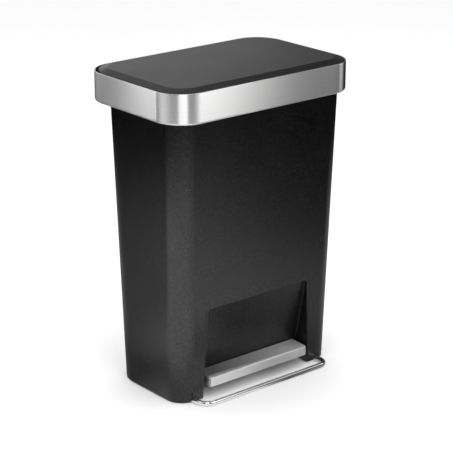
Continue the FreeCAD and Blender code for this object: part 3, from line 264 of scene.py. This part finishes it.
def plated(name, level, roughness, across):
    """Zinc plate on drawn or pressed steel: faint spangle, draw lines and a duller bloom."""
    tree = Tree(name)
    spangle = tree.add("TexVoronoi", {"Vector": tree.place, "Scale": 420.0}).outputs["Color"]
    facet = tree.add("SeparateColor", {0: spangle}).outputs[0]
    drawn = tree.noise(1.0, detail=3.0, roughness=0.6, across=across)
    bloom = tree.noise(45.0, detail=5.0, roughness=0.7)
    tone = tree.blend(facet, grey(level * 0.86, -0.03), grey(level * 1.08, 0.02))
    tone = tree.blend(tree.span(bloom, 0.55, 0.75, 0.0, 0.5), tone, grey(level * 0.62, 0.05))
    rough = tree.math("ADD", tree.span(drawn, 0.3, 0.7, roughness - 0.06, roughness + 0.06),
                      tree.span(bloom, 0.5, 0.75, 0.0, 0.18))
    tree.set(Base_Color=tone, Roughness=rough, Normal=tree.bump(drawn, 0.00003, strength=0.5))
    tree.shader.inputs["Metallic"].default_value = 1.0
    return tree.material


def rubbery(name, level):
    tree = Tree(name)
    dust = tree.noise(160.0, detail=5.0, roughness=0.7)
    pores = tree.cells(2400.0)
    tone = tree.blend(tree.span(dust, 0.5, 0.8, 0.0, 0.5), grey(level), grey(level * 3.0, 0.04))
    rough = tree.span(dust, 0.3, 0.7, 0.72, 0.9)
    tree.set(Base_Color=tone, Roughness=rough, Normal=tree.bump(pores, 0.00006, strength=0.7))
    return tree.material


def natural_nylon(name):
    tree = Tree(name)
    cloud = tree.noise(90.0, detail=4.0, roughness=0.6)
    flow = tree.noise(1.0, detail=3.0, roughness=0.6, across=(700.0, 700.0, 160.0))
    tone = tree.blend(tree.span(cloud, 0.3, 0.7), (0.78, 0.76, 0.70, 1), (0.85, 0.84, 0.80, 1))
    rough = tree.math("ADD", tree.span(cloud, 0.3, 0.7, 0.36, 0.46), tree.span(flow, 0.3, 0.7, -0.04, 0.04))
    tree.set(Base_Color=tone, Roughness=rough, Normal=tree.bump(flow, 0.00003, strength=0.6))
    tree.shader.inputs["Subsurface Weight"].default_value = 0.15
    tree.shader.inputs["Subsurface Scale"].default_value = 0.003
    return tree.material


# ---------------------------------------------------------------- finishes on the pieces

# how far from its left end and its right end the pedal's steel has painted shade and a painted highlight
PEDAL_PAINTED_SHADE_END, PEDAL_PAINTED_HIGHLIGHT_END = 0.03, 0.05
# how far from its front edge it has painted shade and a painted highlight
PEDAL_PAINTED_SHADE_EDGE, PEDAL_PAINTED_HIGHLIGHT_EDGE = 0.016, 0.005


def painted_pedal_light(tree):
    """Painted highlight on the front edge and the right-hand end of the pedal's steel, with painted shade
    towards its left end and its rear.
    """
    left, front, _ = NODES["pedal_plate"].bound_box[0]
    right = NODES["pedal_plate"].bound_box[6][0]
    end = tree.span(tree.axis("X"), left + PEDAL_PAINTED_SHADE_END, right - PEDAL_PAINTED_HIGHLIGHT_END)
    edge = tree.span(tree.axis("Y"), front + PEDAL_PAINTED_SHADE_EDGE, front + PEDAL_PAINTED_HIGHLIGHT_EDGE)
    return tree.math("MAXIMUM", end, edge)


FINISHES = {
    # the can's plastic is painted paler in the pedal's recess, as painted light
    "can_plastic": moulded("can_plastic_grain", level=0.0020, roughness=0.235, grain=0.0011, depth=0.00004,
                           foot=2.4, scuffs=0.1, recess_painted_light=0.0032, flecks=1.0),
    "base_plastic": moulded("base_plastic_grain", level=0.022, roughness=0.50, grain=0.0014, depth=0.00008),
    "frame_plastic": moulded("frame_plastic_grain", level=0.024, roughness=0.42, grain=0.0010, depth=0.00005),
    "pan_plastic": moulded("pan_plastic_grain", level=0.030, roughness=0.40, grain=0.0012, depth=0.00006),
    "lid_plastic": moulded("lid_plastic_grain", level=0.007, roughness=0.32, grain=0.0008, depth=0.00002,
                           scuffs=0.4, flecks=1.0),
    "band_steel": brushed("band_steel_brushed", level=0.74, roughness=0.33, across=(6.0, 6.0, 5200.0),
                          axis="Z", turn=0.25, anisotropy=1.0),
    "chrome": polished("chrome_polished", level=0.88, roughness=0.04),
    "zinc_steel": plated("zinc_plated", level=0.60, roughness=0.34, across=(30.0, 1500.0, 1500.0)),
    "screw_steel": plated("screw_plated", level=0.52, roughness=0.30, across=(1800.0, 1800.0, 1800.0)),
    "nylon": natural_nylon("nylon_natural"),
    "rubber": rubbery("rubber_soft", level=0.018),
}
# the pedal's steel has a painted highlight at its front edge and right end, and painted shade towards its
# left end and rear
PEDAL_FINISH = brushed("pedal_steel_brushed", level=0.92, roughness=0.62, across=(6.0, 4200.0, 4200.0),
                       axis="X", turn=0.0, anisotropy=0.4, painted_light_mask=painted_pedal_light)

for piece in NODES.values():
    slots = piece.data.materials
    for index, material in enumerate(slots):
        slots[index] = FINISHES[material.name.split(".")[0]]
NODES["pedal_plate"].data.materials[0] = PEDAL_FINISH


# ---------------------------------------------------------------- stage

FLOOR_REACH = 40.0
FLOOR_GAP = 0.0002
TENT_RADIUS = 1.2
TENT_HEIGHT = 2.4
TENT_SIDES = 180
APRON_START = 0.05
APRON_HEIGHT = 0.001
# brightness of the studio's panels by azimuth in degrees: 0 is in front, 90 to the right
PANELS = ((-180, 0.12), (-166, 0.80), (-150, 0.72), (-138, 0.74), (-135, 0.00), (-133, 0.25), (-130, 4.00),
          (-127, 1.80), (-122, 0.22), (-117, 0.50), (-110, 1.02), (-96, 0.94), (-86, 0.54), (-76, 0.20),
          (-71, 0.04), (-55, 0.00), (-49, 1.62), (-38, 1.93), (-26, 2.04), (-23, 0.00), (-9, 0.00),
          (4, 0.40), (14, 1.50), (27, 3.10), (31, 2.18), (34, 1.47), (38, 0.36), (45, 0.42), (57, 0.16),
          (66, 1.36), (84, 0.02), (180, 0.12))
# what stands behind on the right, added to the panels, because a ramp has room for 32 levels
REAR_PANELS = ((-180, 0.0), (108, 0.0), (122, 0.03), (142, 0.27), (154, 0.33), (167, 0.44), (180, 0.0))
# the same for the floor's glowing apron, a painted reflection of the floor whose low levels are painted
# shade: close to the object, further out, and from the panels' feet up
NEAR_APRON = ((-180, 0.26), (-125, 0.18), (-105, 0.22), (-75, 0.70), (-50, 0.90), (-25, 0.80), (-8, 0.75),
              (4, 0.34), (18, 0.08), (34, 0.16), (50, 0.34), (70, 0.40), (110, 0.26), (180, 0.26))
APRON = ((-180, 0.35), (-150, 0.36), (-128, 0.36), (-120, 0.52), (-112, 0.95), (-98, 1.40), (-66, 1.60),
         (-20, 1.60), (0, 1.30), (20, 1.08), (45, 0.55), (70, 0.60), (110, 0.40), (180, 0.35))
FAR_APRON = ((-180, 0.30), (-140, 0.26), (-130, 0.40), (-120, 1.15), (-108, 1.60), (-90, 1.75), (-66, 1.85),
             (-52, 1.80), (-20, 1.65), (0, 1.30), (20, 1.00), (32, 0.54), (40, 0.16), (55, 0.10), (70, 0.50),
             (110, 0.35), (180, 0.30))
NEAR_REACH = (0.30, 0.44)
FAR_REACH = (0.68, 1.00)
# the panels' brightness by height: it rises from nothing to a peak, and falls to a share of that
PANEL_RISE = (0.46, 0.72)
PANEL_PEAK = 1.9
PANEL_FALL = (0.85, 1.15)
PANEL_TOP = 0.45
# the glow at the foot of the tent, and the height where it has faded
FOOT_GLOW = (0.9, 0.02)
FOOT_TOP = 0.19


def make_floor():
    mesh = bpy.data.meshes.new("floor")
    corners = [(-FLOOR_REACH, -FLOOR_REACH, 0), (FLOOR_REACH, -FLOOR_REACH, 0),
               (FLOOR_REACH, FLOOR_REACH, 0), (-FLOOR_REACH, FLOOR_REACH, 0)]
    mesh.from_pydata(corners, [], [(0, 1, 2, 3)])
    floor = bpy.data.objects.new("floor", mesh)
    bpy.context.scene.collection.objects.link(floor)
    tree = Tree("floor_paint")
    cloud = tree.noise(1.3, detail=2.0, roughness=0.5)
    tree.set(Base_Color=tree.blend(cloud, grey(0.945), grey(0.965)),
             Roughness=tree.span(cloud, 0.3, 0.7, 0.8, 0.9))
    tree.shader.inputs["Specular IOR Level"].default_value = 0.1
    mesh.materials.append(tree.material)
    floor.location.z = LOW.z - FLOOR_GAP


def azimuth_ramp(tree, levels):
    """Brightness by azimuth round the object."""
    front = tree.math("MULTIPLY", tree.axis("Y"), -1.0)
    azimuth = tree.math("ARCTAN2", tree.axis("X"), front)
    ramp = tree.add("ValToRGB", {"Fac": tree.span(azimuth, -math.pi, math.pi)})
    places = [(turn + 180) / 360 for turn, _ in levels]
    stops = ramp.color_ramp.elements
    for place in places[1:-1]:
        stops.new(place)
    for stop, place, (_, level) in zip(stops, places, levels):
        stop.position = place
        stop.color = grey(level)
    return ramp.outputs["Color"]


def reflected_only(name, corners, faces, glow_of):
    """A glowing surface that shows only in the object's reflections."""
    mesh = bpy.data.meshes.new(name)
    mesh.from_pydata(corners, [], faces)
    panel = bpy.data.objects.new(name, mesh)
    bpy.context.scene.collection.objects.link(panel)
    tree = Tree(name)
    tree.nodes.remove(tree.shader)
    glow = tree.add("Emission")
    glow.inputs["Strength"].default_value = 1.0
    tree.put(glow.inputs["Color"], glow_of(tree))
    tree.links.new(glow.outputs[0], tree.nodes["Material Output"].inputs["Surface"])
    mesh.materials.append(tree.material)
    for ray in ("camera", "diffuse", "transmission", "volume_scatter", "shadow"):
        setattr(panel, "visible_" + ray, False)


def wall_glow(tree):
    height = tree.axis("Z")
    peak = tree.math("MULTIPLY", tree.span(height, *PANEL_RISE, 0.0, PANEL_PEAK),
                     tree.span(height, *PANEL_FALL, 1.0, PANEL_TOP))
    panels = tree.add("VectorMath", {0: azimuth_ramp(tree, PANELS), 1: azimuth_ramp(tree, REAR_PANELS)})
    high = tree.add("VectorMath", {0: panels.outputs[0], "Scale": peak}, operation="SCALE")
    low = tree.add("VectorMath", {0: azimuth_ramp(tree, FAR_APRON),
                                  "Scale": tree.span(height, 0.0, FOOT_TOP, *FOOT_GLOW)}, operation="SCALE")
    return tree.add("VectorMath", {0: high.outputs[0], 1: low.outputs[0]}).outputs[0]


# painted reflection of the floor, with painted shade where its levels are low near the object
def apron_glow(tree):
    away = tree.add("VectorMath", {0: tree.place}, operation="LENGTH").outputs["Value"]
    outer = tree.blend(tree.span(away, *FAR_REACH), azimuth_ramp(tree, APRON), azimuth_ramp(tree, FAR_APRON))
    return tree.blend(tree.span(away, *NEAR_REACH), azimuth_ramp(tree, NEAR_APRON), outer)


def make_tent():
    """Softboxes and dark flags round the object, and a glowing apron on the floor inside them, a painted
    reflection of the floor with painted shade near the object.
    """
    turns = [2 * math.pi * step / TENT_SIDES for step in range(TENT_SIDES)]
    ring = [(math.sin(turn), -math.cos(turn)) for turn in turns]
    sides = [(i, (i + 1) % TENT_SIDES) for i in range(TENT_SIDES)]
    faces = [(left, right, right + TENT_SIDES, left + TENT_SIDES) for left, right in sides]
    wall = [(TENT_RADIUS * x, TENT_RADIUS * y, height) for height in (0.0, TENT_HEIGHT) for x, y in ring]
    apron = [(radius * x, radius * y, APRON_HEIGHT) for radius in (APRON_START, TENT_RADIUS) for x, y in ring]
    reflected_only("tent", wall, faces, wall_glow)
    reflected_only("apron", apron, faces, apron_glow)


make_floor()
make_tent()
make_camera()
make_world()
area_light("key", place=(-0.4, -2.2, 1.9), target=(0.0, 0.0, 0.35), width=1.4, height=1.8, power=14.0)
area_light("top", place=(0.0, 0.2, 2.6), target=(0.0, 0.0, 0.3), width=2.2, height=2.2, power=32.0)
bpy.context.scene.view_settings.view_transform = "Standard"
